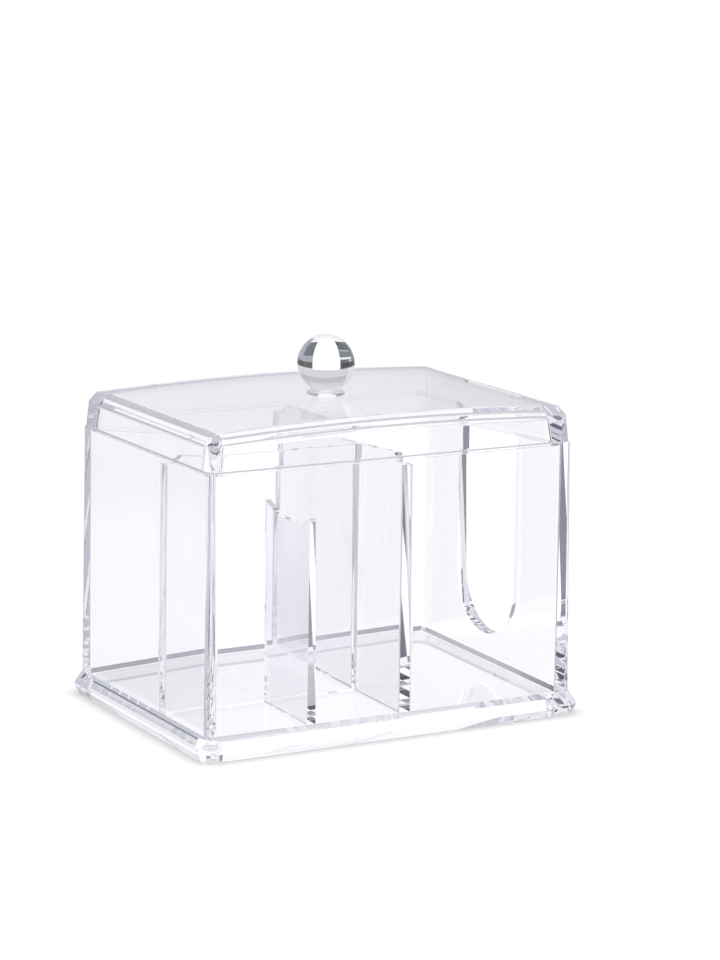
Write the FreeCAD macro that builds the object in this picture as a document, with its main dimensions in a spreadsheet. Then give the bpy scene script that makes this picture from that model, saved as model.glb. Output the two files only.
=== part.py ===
import FreeCAD, Part
import math
import os
import Sketcher

# Clear cotton swab holder: a moulded box with four compartments, a lift-off lid and a ball knob.
# Millimetres, +X to the right, +Y to the back, +Z up, origin under the middle of the base.

Vector = FreeCAD.Vector
Constraint = Sketcher.Constraint
doc = FreeCAD.newDocument("swab_holder")

# Driving sizes: name, value, what it measures.
DRIVING_SIZES = [
    ("base_width", 148.0, "width over the flange"),
    ("base_depth", 109.0, "depth over the flange"),
    ("flange_corner", 5.6, "corner radius of the flange"),
    ("flange_reach", 3.05, "how far the flange stands out from the foot of the walls"),
    ("flange_top", 8.4, "height where the flange meets the walls"),
    ("flange_slope_rise", 4.6, "rise of the sloping top of the flange"),
    ("flange_undercut", 1.6, "how far the underside of the flange is drawn in"),
    ("flange_undercut_rise", 3.0, "rise of the drawn-in underside of the flange"),
    ("rim_height", 97.0, "height of the rim of the box"),
    ("wall_draft", 0.79, "degrees that the outside of the walls leans in"),
    ("rim_wall", 2.6, "thickness of the outer walls at the rim"),
    ("inner_draft", 0.45, "degrees that the compartments narrow towards the floor"),
    ("inner_corner", 1.4, "corner radius inside the compartments"),
    ("floor_level", 7.4, "height of the floor inside"),
    ("floor_thickness", 3.2, "thickness of the floor"),
    ("recess_border", 7.0, "from the outline of the flange to the hollow under the floor"),
    ("pad_cell_width", 60.0, "width of the right compartment at the rim"),
    ("swab_cell_depth", 33.0, "depth of the two front cells at the rim"),
    ("left_swab_cell_width", 35.6, "width of the left front cell at the rim"),
    ("divider_thickness", 2.7, "thickness of the full-height dividers at the rim"),
    ("low_divider_thickness", 2.1, "thickness of the low divider at its top"),
    ("low_divider_top", 78.5, "height of the ends of the low divider"),
    ("scoop_sag", 3.6, "how far the top of the low divider is scooped out"),
    ("divider_root", 0.8, "how far the low divider runs into the walls"),
    ("notch_depth", 3.0, "depth of the steps at the ends of the dividers"),
    ("notch_length", 5.5, "length of the steps at the ends of the dividers"),
    ("slot_width", 39.6, "width of the finger slot in the right wall"),
    ("slot_bottom", 17.2, "height of the bottom of the finger slot"),
    ("slot_middle", 2.4, "middle of the finger slot, behind the middle of the box"),
    ("lid_overhang", 0.35, "how far the lid stands out over the rim"),
    ("lid_corner", 4.2, "corner radius of the lid at the rim"),
    ("lid_side_lean", 6.0, "degrees that the outside of the lid leans in"),
    ("lid_wall", 5.3, "thickness of the side walls of the lid at the rim"),
    ("lid_inner_lean", 10.0, "degrees that the hollow of the lid narrows upwards"),
    ("lid_hollow_corner", 4.0, "corner radius of the hollow in the lid"),
    ("lid_roof", 4.0, "thickness of the roof of the lid"),
    ("crown_height", 14.3, "height of the lid in its middle, above the rim"),
    ("crown_radius", 1060.0, "radius of the arched top of the lid"),
    ("bevel_drop", 2.9, "drop of the bevel round the top of the lid"),
    ("bevel_width", 2.4, "width of the bevel round the top of the lid"),
    ("ceiling_fillet", 2.5, "radius between the roof and the sides inside the lid"),
    ("lip_depth", 1.3, "how far the lip of the lid reaches into the box"),
    ("lip_clearance", 0.35, "gap between the lip and the walls of the box"),
    ("knob_diameter", 20.3, "diameter of the ball of the knob"),
    ("knob_standoff", 0.4, "from the top of the lid to the lowest point of the full ball"),
    ("knob_neck_diameter", 10.2, "diameter where the foot of the knob meets the ball"),
    ("knob_foot_diameter", 13.6, "diameter of the foot of the knob"),
    ("knob_foot_edge", 0.4, "height of the edge of the foot"),
]

sheet = doc.addObject("Spreadsheet::Sheet", "sizes")
for row, (alias, number, meaning) in enumerate(DRIVING_SIZES, start=1):
    sheet.set(f"A{row}", alias)
    sheet.set(f"B{row}", str(number))
    sheet.set(f"C{row}", meaning)
    sheet.setAlias(f"B{row}", alias)
doc.recompute()

# Sizes that follow from the driving ones, as expressions.
WALL_WIDTH = "(sizes.base_width - 2 * sizes.flange_reach)"
WALL_DEPTH = "(sizes.base_depth - 2 * sizes.flange_reach)"
WALL_LEAN = "((sizes.rim_height - sizes.flange_top) * tan(sizes.wall_draft))"
RIM_WIDTH = f"({WALL_WIDTH} - 2 * {WALL_LEAN})"
RIM_DEPTH = f"({WALL_DEPTH} - 2 * {WALL_LEAN})"
INNER_WIDTH = f"({RIM_WIDTH} - 2 * sizes.rim_wall)"
INNER_DEPTH = f"({RIM_DEPTH} - 2 * sizes.rim_wall)"
CELL_HEIGHT = "(sizes.rim_height - sizes.floor_level)"
LEFT_WIDTH = f"({INNER_WIDTH} - sizes.pad_cell_width - sizes.divider_thickness)"
BACK_CELL_DEPTH = f"({INNER_DEPTH} - sizes.swab_cell_depth - sizes.divider_thickness)"
LEFT_MIDDLE = f"(-{INNER_WIDTH} / 2 + {LEFT_WIDTH} / 2)"
RIGHT_MIDDLE = f"({INNER_WIDTH} / 2 - sizes.pad_cell_width / 2)"
FRONT_MIDDLE = f"(-{INNER_DEPTH} / 2 + sizes.swab_cell_depth / 2)"
BACK_MIDDLE = f"({INNER_DEPTH} / 2 - {BACK_CELL_DEPTH} / 2)"
MAIN_DIVIDER_X = f"({INNER_WIDTH} / 2 - sizes.pad_cell_width - sizes.divider_thickness / 2)"
CROSS_DIVIDER_Y = f"(-{INNER_DEPTH} / 2 + sizes.swab_cell_depth + sizes.divider_thickness / 2)"
LOW_DIVIDER_X = f"(-{INNER_WIDTH} / 2 + sizes.left_swab_cell_width + sizes.low_divider_thickness / 2)"
LID_WIDTH = f"({RIM_WIDTH} + 2 * sizes.lid_overhang)"
LID_DEPTH = f"({RIM_DEPTH} + 2 * sizes.lid_overhang)"
HOLLOW_WIDTH = f"({LID_WIDTH} - 2 * sizes.lid_wall)"
HOLLOW_DEPTH = f"({LID_DEPTH} - 2 * sizes.lid_wall)"
CROWN_LEVEL = "(sizes.rim_height + sizes.crown_height)"


def value(expression):
    """The number that an expression of the sizes comes to."""
    return float(sheet.evalExpression(expression))


def new_body(label):
    body = doc.addObject("PartDesign::Body", label)
    body.Label = label
    return body


def origin_plane(body, role):
    return next(plane for plane in body.Origin.OriginFeatures if plane.Role == role)


def new_sketch(body, name, role, shift_x="0", shift_y="0", shift_out="0"):
    """A sketch on one of the body's own planes, shifted along its own axes and away from the plane."""
    sketch = body.newObject("Sketcher::SketchObject", name)
    sketch.AttachmentSupport = (origin_plane(body, role), [""])
    sketch.MapMode = "FlatFace"
    sketch.setExpression("AttachmentOffset.Base.x", shift_x)
    sketch.setExpression("AttachmentOffset.Base.y", shift_y)
    sketch.setExpression("AttachmentOffset.Base.z", shift_out)
    return sketch


def bind(sketch, constraint, name, expression):
    """Add one dimension and tie it to the sizes."""
    sketch.renameConstraint(sketch.addConstraint(constraint), name)
    sketch.setExpression(f"Constraints.{name}", expression)


def add_rounded_rectangle(sketch, tag, width, depth, corner):
    """Draw a rectangle with rounded corners about the sketch's middle."""
    half_x, half_y, radius = 30.0, 20.0, 2.0
    first = sketch.GeometryCount
    in_x, in_y = half_x - radius, half_y - radius
    sides = [((-in_x, -half_y), (in_x, -half_y)), ((half_x, -in_y), (half_x, in_y)),
             ((in_x, half_y), (-in_x, half_y)), ((-half_x, in_y), (-half_x, -in_y))]
    for start, end in sides:
        sketch.addGeometry(Part.LineSegment(Vector(*start, 0), Vector(*end, 0)), False)
    corners = [(in_x, -in_y), (in_x, in_y), (-in_x, in_y), (-in_x, -in_y)]
    for turn, (x, y) in enumerate(corners):
        circle = Part.Circle(Vector(x, y, 0), Vector(0, 0, 1), radius)
        start_angle = (turn - 1) * math.pi / 2
        sketch.addGeometry(Part.ArcOfCircle(circle, start_angle, start_angle + math.pi / 2), False)
    for turn in range(4):
        side, arc, next_side = first + turn, first + 4 + turn, first + (turn + 1) % 4
        sketch.addConstraint(Constraint("Tangent", side, 2, arc, 1))
        sketch.addConstraint(Constraint("Tangent", arc, 2, next_side, 1))
        sketch.addConstraint(Constraint("Horizontal" if turn % 2 == 0 else "Vertical", side))
        if turn:
            sketch.addConstraint(Constraint("Equal", first + 4, arc))
    sketch.addConstraint(Constraint("Symmetric", first + 4, 3, first + 6, 3, -1, 1))
    bind(sketch, Constraint("DistanceX", first + 3, 1, first + 1, 1, 2 * half_x), f"{tag}_width", width)
    bind(sketch, Constraint("DistanceY", first, 1, first + 2, 1, 2 * half_y), f"{tag}_depth", depth)
    bind(sketch, Constraint("Radius", first + 4, radius), f"{tag}_corner", corner)


def add_outline(sketch, points):
    """Draw a closed outline through points whose x and y are expressions."""
    start = [Vector(10 * math.cos(k), 10 * math.sin(k), 0) for k in range(len(points))]
    for index in range(len(points)):
        sketch.addGeometry(Part.LineSegment(start[index], start[(index + 1) % len(points)]), False)
    for index in range(len(points)):
        sketch.addConstraint(Constraint("Coincident", index, 2, (index + 1) % len(points), 1))
    for index, (x, y) in enumerate(points):
        at = start[index]
        bind(sketch, Constraint("DistanceX", -1, 1, index, 1, at.x), f"x{index}", x)
        bind(sketch, Constraint("DistanceY", -1, 1, index, 1, at.y), f"y{index}", y)


def add_circle_segment(sketch, half_chord, level, radius):
    """Draw a level chord with a circular arc that hangs below it."""
    start_half, start_level, start_radius = (value(size) for size in (half_chord, level, radius))
    centre = Vector(0, start_level + math.sqrt(start_radius**2 - start_half**2), 0)
    swing = math.asin(start_half / start_radius)
    low = 3 * math.pi / 2
    sketch.addGeometry(Part.ArcOfCircle(Part.Circle(centre, Vector(0, 0, 1), start_radius),
                                        low - swing, low + swing), False)
    ends = (Vector(start_half, start_level, 0), Vector(-start_half, start_level, 0))
    sketch.addGeometry(Part.LineSegment(*ends), False)
    sketch.addConstraint(Constraint("Coincident", 0, 2, 1, 1))
    sketch.addConstraint(Constraint("Coincident", 1, 2, 0, 1))
    sketch.addConstraint(Constraint("Symmetric", 0, 1, 0, 2, -2))
    bind(sketch, Constraint("DistanceX", -1, 1, 0, 2, start_half), "half_chord", half_chord)
    bind(sketch, Constraint("DistanceY", -1, 1, 0, 2, start_level), "level", level)
    bind(sketch, Constraint("Radius", 0, start_radius), "radius", radius)


def add_slot(sketch, half_width, round_level, top_level):
    """Draw a slot with a round bottom and straight sides up to a level top."""
    half, low, high = 5.0, 10.0, 20.0
    sketch.addGeometry(Part.ArcOfCircle(Part.Circle(Vector(0, low, 0), Vector(0, 0, 1), half),
                                        math.pi, 2 * math.pi), False)
    corners = [Vector(half, low, 0), Vector(half, high, 0), Vector(-half, high, 0), Vector(-half, low, 0)]
    for start, end in zip(corners, corners[1:]):
        sketch.addGeometry(Part.LineSegment(start, end), False)
    sketch.addConstraint(Constraint("Tangent", 0, 2, 1, 1))
    sketch.addConstraint(Constraint("Coincident", 1, 2, 2, 1))
    sketch.addConstraint(Constraint("Coincident", 2, 2, 3, 1))
    sketch.addConstraint(Constraint("Tangent", 3, 2, 0, 1))
    sketch.addConstraint(Constraint("Vertical", 1))
    sketch.addConstraint(Constraint("Horizontal", 2))
    sketch.addConstraint(Constraint("Vertical", 3))
    sketch.addConstraint(Constraint("PointOnObject", 0, 3, -2))
    bind(sketch, Constraint("Radius", 0, half), "half_width", half_width)
    bind(sketch, Constraint("DistanceY", -1, 1, 0, 3, low), "round_level", round_level)
    bind(sketch, Constraint("DistanceY", -1, 1, 1, 2, high), "top_level", top_level)


def add_arched_strip(sketch, half_width, end_level, radius, top_level):
    """Draw the area between an arch that spans the width and a level line above it."""
    half, low, high, start_radius = (value(size) for size in (half_width, end_level, top_level, radius))
    centre = Vector(0, low - math.sqrt(start_radius**2 - half**2), 0)
    swing = math.asin(half / start_radius)
    sketch.addGeometry(Part.ArcOfCircle(Part.Circle(centre, Vector(0, 0, 1), start_radius),
                                        math.pi / 2 - swing, math.pi / 2 + swing), False)
    corners = [Vector(-half, low, 0), Vector(-half, high, 0), Vector(half, high, 0), Vector(half, low, 0)]
    for start, end in zip(corners, corners[1:]):
        sketch.addGeometry(Part.LineSegment(start, end), False)
    for first, second in ((0, 1), (1, 2), (2, 3)):
        sketch.addConstraint(Constraint("Coincident", first, 2, second, 1))
    sketch.addConstraint(Constraint("Coincident", 3, 2, 0, 1))
    sketch.addConstraint(Constraint("Vertical", 1))
    sketch.addConstraint(Constraint("Horizontal", 2))
    sketch.addConstraint(Constraint("Vertical", 3))
    sketch.addConstraint(Constraint("Symmetric", 0, 1, 0, 2, -2))
    bind(sketch, Constraint("DistanceX", -1, 1, 0, 1, half), "half_width", half_width)
    bind(sketch, Constraint("DistanceY", -1, 1, 0, 1, low), "end_level", end_level)
    bind(sketch, Constraint("DistanceY", -1, 1, 2, 1, high), "top_level", top_level)
    bind(sketch, Constraint("Radius", 0, start_radius), "radius", radius)


def add_knob_profile(sketch):
    """Draw half of the knob: flat foot, small edge, flare up to the neck, and the ball."""
    radius, middle, foot = value("sizes.knob_diameter / 2"), value(BALL_MIDDLE), value(CROWN_LEVEL)
    foot_radius, neck_radius = "sizes.knob_foot_diameter / 2", "sizes.knob_neck_diameter / 2"
    foot_half, neck_half = value(foot_radius), value(neck_radius)
    edge = value("sizes.knob_foot_edge")
    neck = Vector(neck_half, middle - math.sqrt(radius**2 - neck_half**2), 0)
    top = Vector(0, middle + radius, 0)
    points = [top, Vector(0, foot, 0), Vector(foot_half, foot, 0), Vector(foot_half, foot + edge, 0), neck]
    for start, end in zip(points, points[1:]):
        sketch.addGeometry(Part.LineSegment(start, end), False)
    ball = Part.Circle(Vector(0, middle, 0), Vector(0, 0, 1), radius)
    sketch.addGeometry(Part.ArcOfCircle(ball, math.atan2(neck.y - middle, neck.x), math.pi / 2), False)
    for first, second in ((0, 1), (1, 2), (2, 3)):
        sketch.addConstraint(Constraint("Coincident", first, 2, second, 1))
    sketch.addConstraint(Constraint("Coincident", 3, 2, 4, 1))
    sketch.addConstraint(Constraint("Coincident", 4, 2, 0, 1))
    sketch.addConstraint(Constraint("PointOnObject", 0, 1, -2))
    sketch.addConstraint(Constraint("PointOnObject", 1, 1, -2))
    sketch.addConstraint(Constraint("PointOnObject", 4, 3, -2))
    sketch.addConstraint(Constraint("Horizontal", 1))
    sketch.addConstraint(Constraint("Vertical", 2))
    bind(sketch, Constraint("Radius", 4, radius), "ball_radius", "sizes.knob_diameter / 2")
    bind(sketch, Constraint("DistanceY", -1, 1, 4, 3, middle), "ball_middle", BALL_MIDDLE)
    bind(sketch, Constraint("DistanceY", -1, 1, 1, 1, foot), "foot_level", CROWN_LEVEL)
    bind(sketch, Constraint("DistanceX", -1, 1, 2, 1, foot_half), "foot_radius", foot_radius)
    bind(sketch, Constraint("DistanceY", 2, 1, 2, 2, edge), "foot_edge", "sizes.knob_foot_edge")
    bind(sketch, Constraint("DistanceX", -1, 1, 3, 2, neck_half), "neck_radius", neck_radius)


def extrude(body, kind, name, sketch, length, reversed_way=False, midplane=False):
    """Pad or pocket a sketch."""
    feature = body.newObject(f"PartDesign::{kind}", name)
    feature.Profile = sketch
    feature.setExpression("Length", length)
    feature.Reversed = reversed_way
    feature.Midplane = midplane
    doc.recompute()
    return feature


def middle_normal(face):
    u_low, u_high, v_low, v_high = face.ParameterRange
    return face.normalAt((u_low + u_high) / 2, (v_low + v_high) / 2)


def upright_faces(shape, least_height):
    """Names of the faces that stand upright and are at least so tall."""
    return [f"Face{index}" for index, face in enumerate(shape.Faces, start=1)
            if abs(middle_normal(face).z) < 1e-6 and face.BoundBox.ZLength > least_height]


def lean_walls(body, name, feature, angle, level, least_height):
    """Draft the upright walls that a feature has just made, about a level where they keep their size."""
    plane = body.newObject("PartDesign::Plane", f"{name}_level")
    plane.AttachmentSupport = (origin_plane(body, "XY_Plane"), [""])
    plane.MapMode = "FlatFace"
    plane.setExpression("AttachmentOffset.Base.z", level)
    doc.recompute()
    draft = body.newObject("PartDesign::Draft", name)
    draft.Base = (feature, upright_faces(feature.Shape, least_height))
    draft.NeutralPlane = (plane, [""])
    draft.setExpression("Angle", angle)
    doc.recompute()
    return draft


def edges_at(shape, level, least_reach):
    """Names of the flat edges of an outline at one level, away from the middle."""
    names = []
    for index, edge in enumerate(shape.Edges, start=1):
        box = edge.BoundBox
        if abs(box.ZMin - level) < 1e-4 and abs(box.ZMax - level) < 1e-4:
            if max(abs(box.Center.x) / least_reach[0], abs(box.Center.y) / least_reach[1]) > 1:
                names.append(f"Edge{index}")
    return names


def edges_of(shape, face):
    """Names of the edges round one face of a shape."""
    return [f"Edge{index}" for index, edge in enumerate(shape.Edges, start=1)
            if any(edge.isSame(side) for side in face.Edges)]


def chamfer(body, name, feature, edges, rise, inset):
    """Bevel edges by a rise on the upright side and an inset on the level one."""
    cut = body.newObject("PartDesign::Chamfer", name)
    cut.Base = (feature, edges)
    cut.ChamferType = 1
    cut.setExpression("Size", rise)
    cut.setExpression("Size2", inset)
    doc.recompute()
    return cut


# Box: one moulding with its flange, walls, floor and the three dividers.
box = new_body("compartment_box")

# The flange slopes out from the walls to a narrow upright edge, and its underside is drawn in.
flange_outline = new_sketch(box, "flange_outline", "XY_Plane")
add_rounded_rectangle(flange_outline, "flange", "sizes.base_width", "sizes.base_depth",
                      "sizes.flange_corner")
flange = extrude(box, "Pad", "flange", flange_outline, "sizes.flange_top")
OUTER_PART = (value("sizes.base_width") * 0.4, value("sizes.base_depth") * 0.4)
slope_edges = edges_at(flange.Shape, value("sizes.flange_top"), OUTER_PART)
flange_slope = chamfer(box, "flange_slope", flange, slope_edges, "sizes.flange_slope_rise",
                       "sizes.flange_reach")
under_edges = edges_at(flange_slope.Shape, 0.0, OUTER_PART)
chamfer(box, "flange_underside", flange_slope, under_edges, "sizes.flange_undercut_rise",
        "sizes.flange_undercut")

# The block of the walls stands on the flange and leans in towards the rim.
wall_outline = new_sketch(box, "wall_outline", "XY_Plane", shift_out="sizes.flange_top")
WALL_CORNER = "sizes.flange_corner - sizes.flange_reach"
add_rounded_rectangle(wall_outline, "wall", WALL_WIDTH, WALL_DEPTH, WALL_CORNER)
wall_block = extrude(box, "Pad", "wall_block", wall_outline, "sizes.rim_height - sizes.flange_top")
TALL = value(CELL_HEIGHT) / 2
lean_walls(box, "wall_lean", wall_block, "sizes.wall_draft", "sizes.flange_top", TALL)


def hollow_out(name, width, depth, middle_x, middle_y):
    """Sink one compartment from the rim to the floor, narrower towards the floor."""
    outline = new_sketch(box, f"{name}_outline", "XY_Plane", middle_x, middle_y, "sizes.rim_height")
    add_rounded_rectangle(outline, name, width, depth, "sizes.inner_corner")
    pocket = extrude(box, "Pocket", name, outline, CELL_HEIGHT)
    return lean_walls(box, f"{name}_lean", pocket, "sizes.inner_draft", "sizes.rim_height", TALL)


hollow_out("swab_cells", LEFT_WIDTH, "sizes.swab_cell_depth", LEFT_MIDDLE, FRONT_MIDDLE)
hollow_out("back_cell", LEFT_WIDTH, BACK_CELL_DEPTH, LEFT_MIDDLE, BACK_MIDDLE)
hollow_out("pad_cell", "sizes.pad_cell_width", INNER_DEPTH, RIGHT_MIDDLE, "0")

# The low divider between the two swab cells thickens towards the floor; its top is scooped out.
low_divider_profile = new_sketch(box, "low_divider_profile", "XZ_Plane", LOW_DIVIDER_X, "0",
                                 f"-{FRONT_MIDDLE}")
TOP_HALF = "sizes.low_divider_thickness / 2"
ROOT_LEVEL = "(sizes.floor_level - sizes.divider_root)"
ROOT_HALF = f"({TOP_HALF} + (sizes.low_divider_top - {ROOT_LEVEL}) * tan(sizes.inner_draft))"
add_outline(low_divider_profile, [(f"-{ROOT_HALF}", ROOT_LEVEL), (ROOT_HALF, ROOT_LEVEL),
                                  (TOP_HALF, "sizes.low_divider_top"),
                                  (f"-{TOP_HALF}", "sizes.low_divider_top")])
extrude(box, "Pad", "low_divider", low_divider_profile, "sizes.swab_cell_depth + 2 * sizes.divider_root",
        midplane=True)
scoop_profile = new_sketch(box, "scoop_profile", "YZ_Plane", FRONT_MIDDLE, "0", LOW_DIVIDER_X)
NARROWING = "(sizes.rim_height - sizes.low_divider_top) * tan(sizes.inner_draft)"
SCOOP_HALF = f"(sizes.swab_cell_depth / 2 - {NARROWING})"
SCOOP_RADIUS = f"({SCOOP_HALF}^2 + sizes.scoop_sag^2) / (2 * sizes.scoop_sag)"
add_circle_segment(scoop_profile, SCOOP_HALF, "sizes.low_divider_top", SCOOP_RADIUS)
extrude(box, "Pocket", "scoop", scoop_profile, "4 * sizes.low_divider_thickness", midplane=True)


def step_outline(inner_width, way):
    """Four corners of the step at one end of a divider: wall at the rim, foot of the step, slope."""
    wall = f"{way} * {inner_width} / 2"
    foot_level = "sizes.rim_height - sizes.notch_depth"
    return [(wall, "sizes.rim_height"),
            (f"{wall} - {way} * sizes.notch_depth * tan(sizes.inner_draft)", foot_level),
            (f"{wall} - {way} * sizes.notch_length", foot_level),
            (f"{wall} - {way} * (sizes.notch_length + sizes.notch_depth)", "sizes.rim_height")]


# The full-height dividers step down where they meet the walls, which leaves room for the lip.
STEP_ACROSS = "sizes.divider_thickness + 3 * sizes.inner_corner"
for name, way in (("front_step", "-1"), ("back_step", "1")):
    profile = new_sketch(box, f"{name}_profile", "YZ_Plane", shift_out=MAIN_DIVIDER_X)
    add_outline(profile, step_outline(INNER_DEPTH, way))
    extrude(box, "Pocket", name, profile, STEP_ACROSS, midplane=True)
left_step_profile = new_sketch(box, "left_step_profile", "XZ_Plane", shift_out=f"-{CROSS_DIVIDER_Y}")
add_outline(left_step_profile, step_outline(INNER_WIDTH, "-1"))
extrude(box, "Pocket", "left_step", left_step_profile, STEP_ACROSS, midplane=True)

# The finger slot opens the right wall from the rim down to a round bottom.
slot_profile = new_sketch(box, "slot_profile", "YZ_Plane", "sizes.slot_middle", "0", RIGHT_MIDDLE)
SLOT_ROUND_LEVEL = "sizes.slot_bottom + sizes.slot_width / 2"
add_slot(slot_profile, "sizes.slot_width / 2", SLOT_ROUND_LEVEL, "sizes.rim_height")
extrude(box, "Pocket", "finger_slot", slot_profile, "sizes.pad_cell_width", reversed_way=True)

# The underside is hollow, so the floor is as thin as the walls.
recess_outline = new_sketch(box, "recess_outline", "XY_Plane")
add_rounded_rectangle(recess_outline, "recess", "sizes.base_width - 2 * sizes.recess_border",
                      "sizes.base_depth - 2 * sizes.recess_border", "sizes.flange_corner")
RECESS_DEPTH = "sizes.floor_level - sizes.floor_thickness"
extrude(box, "Pocket", "recess", recess_outline, RECESS_DEPTH, reversed_way=True)


# Lid: one moulding with leaning sides, an arched top with a bevel, and a lip that centres it.
lid = new_body("lid")
lid_outline = new_sketch(lid, "lid_outline", "XY_Plane", shift_out="sizes.rim_height")
add_rounded_rectangle(lid_outline, "lid", LID_WIDTH, LID_DEPTH, "sizes.lid_corner")
ABOVE_CROWN = "(sizes.lid_roof / 2)"
lid_block = extrude(lid, "Pad", "lid_block", lid_outline, f"sizes.crown_height + {ABOVE_CROWN}")
LID_TALL = value("sizes.crown_height") / 2
lean_walls(lid, "lid_lean", lid_block, "sizes.lid_side_lean", "sizes.rim_height", LID_TALL)
hollow_outline = new_sketch(lid, "hollow_outline", "XY_Plane", shift_out="sizes.rim_height")
add_rounded_rectangle(hollow_outline, "hollow", HOLLOW_WIDTH, HOLLOW_DEPTH, "sizes.lid_hollow_corner")
hollow = extrude(lid, "Pocket", "hollow", hollow_outline, "2 * sizes.crown_height", reversed_way=True)
lean_walls(lid, "hollow_lean", hollow, "-sizes.lid_inner_lean", "sizes.rim_height", LID_TALL)

# The roof closes the hollow with an arched ceiling; then the top is cut to the same arch.
roof_profile = new_sketch(lid, "roof_profile", "XZ_Plane")
CEILING_RADIUS = "(sizes.crown_radius - sizes.lid_roof)"
CEILING_SAG = f"({CEILING_RADIUS} - sqrt({CEILING_RADIUS}^2 - ({HOLLOW_WIDTH} / 2)^2))"
add_arched_strip(roof_profile, f"{HOLLOW_WIDTH} / 2", f"{CROWN_LEVEL} - sizes.lid_roof - {CEILING_SAG}",
                 CEILING_RADIUS, f"{CROWN_LEVEL} + {ABOVE_CROWN}")
extrude(lid, "Pad", "roof", roof_profile, HOLLOW_DEPTH, midplane=True)
arch_profile = new_sketch(lid, "arch_profile", "XZ_Plane")
ARCH_HALF = "sizes.base_width / 2"
ARCH_SAG = f"(sizes.crown_radius - sqrt(sizes.crown_radius^2 - ({ARCH_HALF})^2))"
add_arched_strip(arch_profile, ARCH_HALF, f"{CROWN_LEVEL} - {ARCH_SAG}", "sizes.crown_radius",
                 f"{CROWN_LEVEL} + sizes.lid_roof")
arched_top = extrude(lid, "Pocket", "arched_top", arch_profile, "2 * sizes.base_depth", midplane=True)
top_face = max(arched_top.Shape.Faces, key=lambda face: face.CenterOfMass.z)
bevel = chamfer(lid, "bevel", arched_top, edges_of(arched_top.Shape, top_face), "sizes.bevel_drop",
                "sizes.bevel_width")
ceiling = max((face for face in bevel.Shape.Faces if middle_normal(face).z < -0.9),
              key=lambda face: face.CenterOfMass.z)
ceiling_round = lid.newObject("PartDesign::Fillet", "ceiling_round")
ceiling_round.Base = (bevel, edges_of(bevel.Shape, ceiling))
ceiling_round.setExpression("Radius", "sizes.ceiling_fillet")
doc.recompute()

# The lip runs round the inside of the box, just below the rim.
lip_outline = new_sketch(lid, "lip_outline", "XY_Plane", shift_out="sizes.rim_height")
add_rounded_rectangle(lip_outline, "lip", f"{INNER_WIDTH} - 2 * sizes.lip_clearance",
                      f"{INNER_DEPTH} - 2 * sizes.lip_clearance", "sizes.inner_corner - sizes.lip_clearance")
add_rounded_rectangle(lip_outline, "lip_inside", HOLLOW_WIDTH, HOLLOW_DEPTH, "sizes.lid_hollow_corner")
extrude(lid, "Pad", "lip", lip_outline, "sizes.lip_depth", reversed_way=True)


# Knob: a ball on a flared foot, set on the middle of the lid.
FULL_TURN = 360
ball_knob = new_body("ball_knob")
knob_profile = new_sketch(ball_knob, "knob_profile", "XZ_Plane")
BALL_MIDDLE = f"({CROWN_LEVEL} + sizes.knob_standoff + sizes.knob_diameter / 2)"
add_knob_profile(knob_profile)
knob = ball_knob.newObject("PartDesign::Revolution", "knob")
knob.Profile = knob_profile
knob.ReferenceAxis = (knob_profile, ["V_Axis"])
knob.Angle = FULL_TURN
doc.recompute()

# Every feature has to be sound before the three pieces are written.
PIECES = ("compartment_box", "lid", "ball_knob")
for item in doc.Objects:
    if "Invalid" in item.State or "Error" in item.State:
        raise RuntimeError(f"{item.Name} did not build: {item.State}")
os.makedirs("parts", exist_ok=True)
for name in PIECES:
    shape = doc.getObject(name).Shape
    if shape.isNull() or not shape.isValid() or len(shape.Solids) != 1:
        raise RuntimeError(f"{name} is not one sound solid")
    shape.exportStep(f"parts/{name}.step")
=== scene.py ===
import math

import bpy
from mathutils import Matrix, Vector

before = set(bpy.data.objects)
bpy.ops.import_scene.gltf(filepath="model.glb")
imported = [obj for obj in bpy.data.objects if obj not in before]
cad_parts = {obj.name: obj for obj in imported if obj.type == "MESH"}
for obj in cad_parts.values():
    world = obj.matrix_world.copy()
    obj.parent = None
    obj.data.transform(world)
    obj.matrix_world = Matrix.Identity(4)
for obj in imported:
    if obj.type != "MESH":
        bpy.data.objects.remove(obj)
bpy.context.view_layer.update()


# Box
# The four-compartment box is one injection moulding in hard clear plastic, polished in the mould.
# Its walls carry faint flow waves and a breath of haze, and thick stretches turn very slightly blue.
PLASTIC_IOR = 1.59
WATER_CLEAR = (0.994, 0.991, 1.0, 1.0)
FAINT_LILAC = (0.984, 0.980, 0.997, 1.0)
THICK_TINT = (0.70, 0.72, 0.90, 1.0)
TINT_DENSITY = 1.5
# Painted glow: the colour the plastic emits for rays that bounce inside it past LONGEST_PATH.
PAINTED_TRAPPED_GLOW = (0.58, 0.59, 0.65, 1.0)
LONGEST_PATH = 18.0
WAVE_DETAIL = 1.0
WAVE_STRENGTH = 0.25
HAZE_DETAIL = 4.0
HAZE_FROM = -0.2


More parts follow.
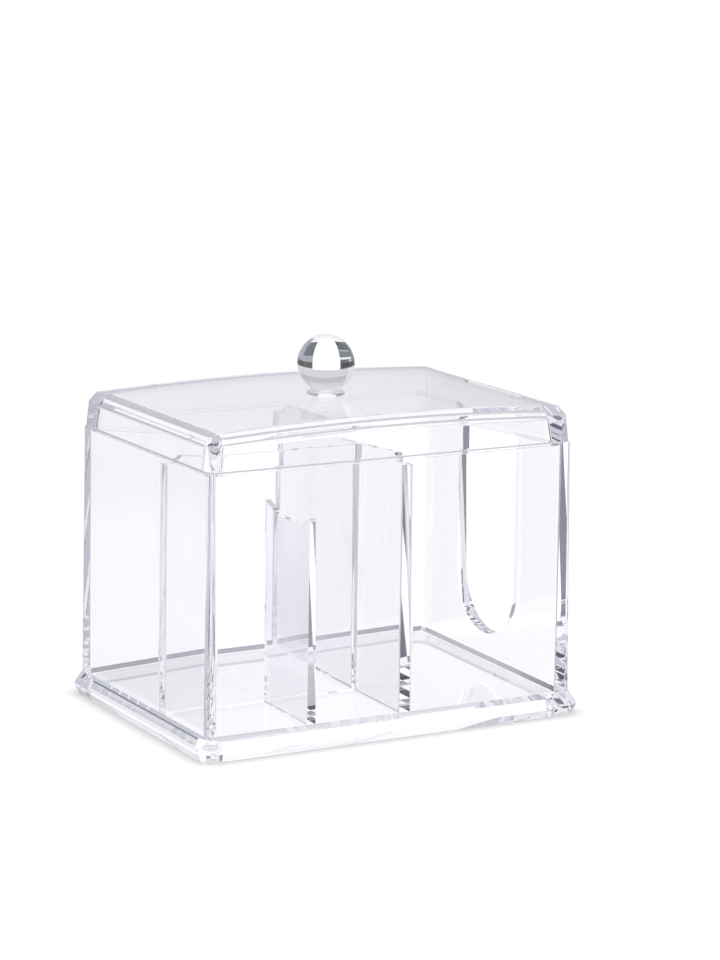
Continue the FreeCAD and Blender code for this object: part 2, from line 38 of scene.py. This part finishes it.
def moulded_surface_group():
    """What every moulding shares: its tone, its roughness and the height of its flow waves.

    The haze starts below the noise's lowest value, so that no spot of a moulding is free of it.
    """
    group = bpy.data.node_groups.new("moulded_surface", "ShaderNodeTree")
    for name in ("Wave Scale", "Haze Scale", "Haze"):
        group.interface.new_socket(name, in_out="INPUT", socket_type="NodeSocketFloat")
    group.interface.new_socket("Tone", in_out="OUTPUT", socket_type="NodeSocketColor")
    group.interface.new_socket("Roughness", in_out="OUTPUT", socket_type="NodeSocketFloat")
    group.interface.new_socket("Waves", in_out="OUTPUT", socket_type="NodeSocketFloat")
    nodes, links = group.nodes, group.links
    given = nodes.new("NodeGroupInput")
    result = nodes.new("NodeGroupOutput")
    place = nodes.new("ShaderNodeTexCoord")
    waves = nodes.new("ShaderNodeTexNoise")
    waves.inputs["Detail"].default_value = WAVE_DETAIL
    haze = nodes.new("ShaderNodeTexNoise")
    haze.inputs["Detail"].default_value = HAZE_DETAIL
    roughness = nodes.new("ShaderNodeMapRange")
    roughness.inputs["From Min"].default_value = HAZE_FROM
    tone = nodes.new("ShaderNodeMix")
    tone.data_type = "RGBA"
    tone.inputs[6].default_value = WATER_CLEAR
    tone.inputs[7].default_value = FAINT_LILAC
    links.new(place.outputs["Object"], waves.inputs["Vector"])
    links.new(place.outputs["Object"], haze.inputs["Vector"])
    links.new(given.outputs["Wave Scale"], waves.inputs["Scale"])
    links.new(given.outputs["Haze Scale"], haze.inputs["Scale"])
    links.new(haze.outputs["Fac"], roughness.inputs["Value"])
    links.new(given.outputs["Haze"], roughness.inputs["To Max"])
    links.new(haze.outputs["Fac"], tone.inputs[0])
    links.new(tone.outputs[2], result.inputs["Tone"])
    links.new(roughness.outputs["Result"], result.inputs["Roughness"])
    links.new(waves.outputs["Fac"], result.inputs["Waves"])
    return group


MOULDED_SURFACE = moulded_surface_group()


def worked(tree, operation, first, *numbers):
    """One step of arithmetic on a socket, with other sockets or plain numbers."""
    maths = tree.nodes.new("ShaderNodeMath")
    maths.operation = operation
    tree.links.new(first, maths.inputs[0])
    for place, number in enumerate(numbers, 1):
        if isinstance(number, float):
            maths.inputs[place].default_value = number
        else:
            tree.links.new(number, maths.inputs[place])
    return maths.outputs[0]


def clear_plastic(name, wave_scale, wave_height, haze_scale, haze, is_ball=False):
    """Clear plastic that refracts, tints with depth, and glows with a painted light once a ray has
    bounced too long inside it.

    Box and lid have haze enough that only the polished ball sends sharp rays through itself. They let
    those rays pass unbent, so that the ball pictures the studio and not the mouldings below it.
    """
    plastic = bpy.data.materials.new(name)
    plastic.use_nodes = True
    plastic.cycles.emission_sampling = "NONE"
    nodes, links = plastic.node_tree.nodes, plastic.node_tree.links
    nodes.clear()
    surface = nodes.new("ShaderNodeGroup")
    surface.node_tree = MOULDED_SURFACE
    surface.inputs["Wave Scale"].default_value = wave_scale
    surface.inputs["Haze Scale"].default_value = haze_scale
    surface.inputs["Haze"].default_value = haze
    bump = nodes.new("ShaderNodeBump")
    bump.inputs["Strength"].default_value = WAVE_STRENGTH
    bump.inputs["Distance"].default_value = wave_height
    body = nodes.new("ShaderNodeBsdfPrincipled")
    body.inputs["IOR"].default_value = PLASTIC_IOR
    body.inputs["Transmission Weight"].default_value = 1.0
    depth_tint = nodes.new("ShaderNodeVolumeAbsorption")
    depth_tint.inputs["Color"].default_value = THICK_TINT
    depth_tint.inputs["Density"].default_value = TINT_DENSITY
    # Painted glow: past LONGEST_PATH bounces the plastic emits this grey-blue in place of the light the
    # ray would bring.
    painted_glow = nodes.new("ShaderNodeEmission")
    painted_glow.inputs["Color"].default_value = PAINTED_TRAPPED_GLOW
    see_through = nodes.new("ShaderNodeBsdfTransparent")
    path = nodes.new("ShaderNodeLightPath")
    long_path = worked(plastic.node_tree, "GREATER_THAN", path.outputs["Ray Depth"], LONGEST_PATH)
    let_pass = path.outputs["Is Shadow Ray"]
    if not is_ball:
        ball_picture = worked(plastic.node_tree, "MULTIPLY", path.outputs["Is Singular Ray"],
                              path.outputs["Is Transmission Ray"])
        let_pass = worked(plastic.node_tree, "MAXIMUM", let_pass, ball_picture)
    with_painted_glow = nodes.new("ShaderNodeMixShader")
    with_passing = nodes.new("ShaderNodeMixShader")
    output = nodes.new("ShaderNodeOutputMaterial")
    links.new(surface.outputs["Tone"], body.inputs["Base Color"])
    links.new(surface.outputs["Roughness"], body.inputs["Roughness"])
    links.new(surface.outputs["Waves"], bump.inputs["Height"])
    links.new(bump.outputs["Normal"], body.inputs["Normal"])
    links.new(long_path, with_painted_glow.inputs["Fac"])
    links.new(body.outputs["BSDF"], with_painted_glow.inputs[1])
    links.new(painted_glow.outputs["Emission"], with_painted_glow.inputs[2])
    links.new(let_pass, with_passing.inputs["Fac"])
    links.new(with_painted_glow.outputs["Shader"], with_passing.inputs[1])
    links.new(see_through.outputs["BSDF"], with_passing.inputs[2])
    links.new(with_passing.outputs["Shader"], output.inputs["Surface"])
    links.new(depth_tint.outputs["Volume"], output.inputs["Volume"])
    return plastic


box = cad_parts["compartment_box"]
box.material_slots[0].material = clear_plastic(
    "box_plastic", wave_scale=30.0, wave_height=0.0001, haze_scale=200.0, haze=0.03)


# Lid
# The lid is a second moulding in the same clear plastic, hollow underneath, laid loose on the rim.
# Its broad arched top shows longer, slower waves than the thin walls of the box.
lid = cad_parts["lid"]
lid.material_slots[0].material = clear_plastic(
    "lid_plastic", wave_scale=22.0, wave_height=0.0001, haze_scale=160.0, haze=0.03)


# Knob
# The ball on the lid is turned out of solid clear plastic, polished, and bonded down by its foot.
# Ball and foot are one piece, with only a trace of waviness.
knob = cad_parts["ball_knob"]
knob.material_slots[0].material = clear_plastic(
    "knob_plastic", wave_scale=60.0, wave_height=0.00002, haze_scale=260.0, haze=0.003, is_ball=True)


# Floor
# A white table top. To the eye it is white, with a painted shadow, a soft grey line where the foot of
# the box meets it, and seen through the plastic it gives way to the lit studio beyond.
FLOOR_REACH = 6.0
CONTACT_REACH = 0.0045
CONTACT_TRIES = 4
PAINTED_SHADOW_GREY = (0.50, 0.50, 0.51, 1.0)
PAPER_WHITE = (1.0, 1.0, 1.0, 1.0)
MATTE_WHITE = (0.95, 0.95, 0.95, 1.0)
GLOW_SHARE = 0.97
bpy.ops.mesh.primitive_plane_add(size=2.0 * FLOOR_REACH, location=(0.0, 0.0, 0.0))
floor = bpy.context.object
floor.name = "table_top"
table = bpy.data.materials.new("white_table")
table.use_nodes = True
table.cycles.emission_sampling = "NONE"
nodes, links = table.node_tree.nodes, table.node_tree.links
nodes.clear()
# Painted shadow: ambient occlusion turns the floor's glow grey close to the box's foot.
contact_shadow = nodes.new("ShaderNodeAmbientOcclusion")
contact_shadow.samples = CONTACT_TRIES
contact_shadow.inputs["Distance"].default_value = CONTACT_REACH
shade = nodes.new("ShaderNodeMix")
shade.data_type = "RGBA"
shade.inputs[6].default_value = PAINTED_SHADOW_GREY
shade.inputs[7].default_value = PAPER_WHITE
matte = nodes.new("ShaderNodeBsdfDiffuse")
matte.inputs["Color"].default_value = MATTE_WHITE
glow = nodes.new("ShaderNodeEmission")
surface_mix = nodes.new("ShaderNodeMixShader")
surface_mix.inputs["Fac"].default_value = GLOW_SHARE
open_view = nodes.new("ShaderNodeBsdfTransparent")
path = nodes.new("ShaderNodeLightPath")
by_eye = nodes.new("ShaderNodeMixShader")
output = nodes.new("ShaderNodeOutputMaterial")
links.new(contact_shadow.outputs["AO"], shade.inputs[0])
links.new(shade.outputs[2], glow.inputs["Color"])
links.new(matte.outputs["BSDF"], surface_mix.inputs[1])
links.new(glow.outputs["Emission"], surface_mix.inputs[2])
links.new(path.outputs["Is Camera Ray"], by_eye.inputs["Fac"])
links.new(open_view.outputs["BSDF"], by_eye.inputs[1])
links.new(surface_mix.outputs["Shader"], by_eye.inputs[2])
links.new(by_eye.outputs["Shader"], output.inputs["Surface"])
floor.data.materials.append(table)


# Studio
# What the ball and the mirroring edges show of the room: a lit white sweep in line with the camera, dark
# cards on both sides of it, grey walls above, diffusers all round. Straight through its walls the
# plastic shows the white background. Angles are degrees right of the view and above the horizon.
VIEW_TURN = math.radians(28.74)
TO_RIGHT = (math.cos(VIEW_TURN), -math.sin(VIEW_TURN), 0.0)
TO_BACK = (math.sin(VIEW_TURN), math.cos(VIEW_TURN), 0.0)
STRAIGHT_UP = (0.0, 0.0, 1.0)
DIFFUSERS = (1.0, 1.0, 1.02)
SWEEP = (1.12, 1.12, 1.13)
BACKGROUND = (1.0, 1.0, 1.0)
SWEEP_TOP = 1.5
STRAIGHT_WHITE = 0.85
UPWARD_WHITE = 0.3
SEVERAL_WALLS = 4.5
HALF = 0.5
EDGE_SOFTNESS = 0.7
LIGHT_BOUNCES = 24
studio = bpy.data.worlds.new("studio")
bpy.context.scene.world = studio
studio.use_nodes = True
sky = studio.node_tree
nodes, links = sky.nodes, sky.links
nodes.clear()
direction = nodes.new("ShaderNodeTexCoord")


def along(axis):
    """How far the seen direction points along an axis."""
    dot = nodes.new("ShaderNodeVectorMath")
    dot.operation = "DOT_PRODUCT"
    dot.inputs[1].default_value = axis
    links.new(direction.outputs["Generated"], dot.inputs[0])
    return dot.outputs["Value"]


def above(angle, edge):
    """0 below an angle in degrees, 1 above it, with a soft edge."""
    span = nodes.new("ShaderNodeMapRange")
    span.inputs["From Min"].default_value = edge - EDGE_SOFTNESS
    span.inputs["From Max"].default_value = edge + EDGE_SOFTNESS
    links.new(angle, span.inputs["Value"])
    return span.outputs["Result"]


def between(angle, low, high):
    """1 from one angle to another, 0 outside them."""
    return worked(sky, "SUBTRACT", above(angle, low), above(angle, high))


def lay(below, color, share):
    """Lay a colour over what is below it, where the share says so."""
    mix = nodes.new("ShaderNodeMix")
    mix.data_type = "RGBA"
    mix.inputs[7].default_value = (*color, 1.0)
    if isinstance(below, tuple):
        mix.inputs[6].default_value = (*below, 1.0)
    else:
        links.new(below, mix.inputs[6])
    links.new(share, mix.inputs[0])
    return mix.outputs[2]


aside = worked(sky, "DEGREES", worked(sky, "ARCTAN2", along(TO_RIGHT), along(TO_BACK)))
up = worked(sky, "DEGREES", worked(sky, "ARCSINE", along(STRAIGHT_UP)))
PANELS = {
    "white_sweep": (SWEEP, (-23.5, 20.5), (-60.0, SWEEP_TOP)),
    "left_card": ((0.05, 0.06, 0.09), (-80.0, -23.5), (-50.0, SWEEP_TOP)),
    "left_card_lit_face": ((0.13, 0.15, 0.19), (-56.0, -23.5), (-27.0, -18.5)),
    "left_card_lit_edge": ((0.45, 0.47, 0.50), (-56.0, -23.5), (-30.5, -28.0)),
    "left_gap": ((0.90, 0.90, 0.94), (-56.0, -23.5), (-17.5, -14.0)),
    "left_opening": ((0.42, 0.42, 0.46), (-56.0, -45.0), (-14.0, -8.5)),
    "left_far_end": ((0.12, 0.14, 0.18), (-80.0, -56.0), (-18.5, -8.5)),
    "left_card_top": ((0.03, 0.03, 0.04), (-80.0, -23.5), (-8.5, 0.0)),
    "right_card": ((0.08, 0.10, 0.13), (21.0, 48.0), (-48.0, -19.0)),
    "right_card_lit_face": ((0.33, 0.35, 0.38), (21.0, 50.0), (-19.0, -10.0)),
    "right_far_end": ((0.30, 0.32, 0.36), (48.0, 112.0), (-60.0, -9.0)),
    "right_card_top": ((0.05, 0.05, 0.05), (20.5, 112.0), (-10.0, 0.5)),
    "side_wall": ((0.78, 0.78, 0.82), (-80.0, -44.0), (SWEEP_TOP, 89.0)),
    "low_wall": ((0.65, 0.65, 0.68), (-44.0, 72.0), (SWEEP_TOP, 14.0)),
    "high_wall": ((0.50, 0.50, 0.53), (-44.0, 72.0), (14.0, 28.0)),
    "ceiling": ((0.62, 0.62, 0.65), (-44.0, 72.0), (28.0, 89.0)),
}
seen = DIFFUSERS
for color, (left, right), (low, high) in PANELS.values():
    share = worked(sky, "MULTIPLY", between(aside, left, right), between(up, low, high))
    seen = lay(seen, color, share)

# The ball's sharp rays see the room as it is. All others see white straight through the plastic, and
# what they see by way of several walls and a mirroring floor is lightened above the horizon.
path = nodes.new("ShaderNodeLightPath")
not_by_ball = worked(sky, "LESS_THAN", path.outputs["Is Singular Ray"], HALF)
unmirrored = worked(sky, "LESS_THAN", path.outputs["Glossy Depth"], HALF)
through_walls = worked(sky, "GREATER_THAN", path.outputs["Ray Depth"], SEVERAL_WALLS)
looking_up = worked(sky, "MULTIPLY", through_walls, above(up, SWEEP_TOP))
whitened = worked(sky, "MAXIMUM", worked(sky, "MULTIPLY", unmirrored, STRAIGHT_WHITE),
                  worked(sky, "MULTIPLY", looking_up, UPWARD_WHITE))
whitened = worked(sky, "MULTIPLY", whitened, not_by_ball)
seen = lay(seen, SWEEP, whitened)
seen = lay(seen, BACKGROUND, path.outputs["Is Camera Ray"])
light = nodes.new("ShaderNodeBackground")
output = nodes.new("ShaderNodeOutputWorld")
links.new(seen, light.inputs["Color"])
links.new(light.outputs["Background"], output.inputs["Surface"])
for limit in ("max_bounces", "transmission_bounces", "glossy_bounces"):
    setattr(bpy.context.scene.cycles, limit, LIGHT_BOUNCES)
bpy.context.scene.view_settings.view_transform = "Standard"


# Camera
# The photograph's viewing angle and long lens, as fitted to the corners of the flange, rim and lid. The
# focal length is a share of the picture's width.
FOCAL = 3353.2 / 720.0
SENSOR = 36.0
DIP = math.radians(11.24)
ROLL = math.radians(0.66)
PLACE = Vector((-0.54313, -1.01595, 0.30944))
look = Vector((math.sin(VIEW_TURN) * math.cos(DIP), math.cos(VIEW_TURN) * math.cos(DIP), -math.sin(DIP)))
level_right = look.cross(Vector(STRAIGHT_UP)).normalized()
level_up = level_right.cross(look)
right = level_right * math.cos(ROLL) + level_up * math.sin(ROLL)
upward = level_up * math.cos(ROLL) - level_right * math.sin(ROLL)
lens = bpy.data.cameras.new("camera")
camera = bpy.data.objects.new("camera", lens)
bpy.context.collection.objects.link(camera)
lens.sensor_fit = "HORIZONTAL"
lens.sensor_width = SENSOR
lens.lens = FOCAL * SENSOR
camera.matrix_world = Matrix.Translation(PLACE) @ Matrix((right, upward, -look)).transposed().to_4x4()
bpy.context.scene.camera = camera
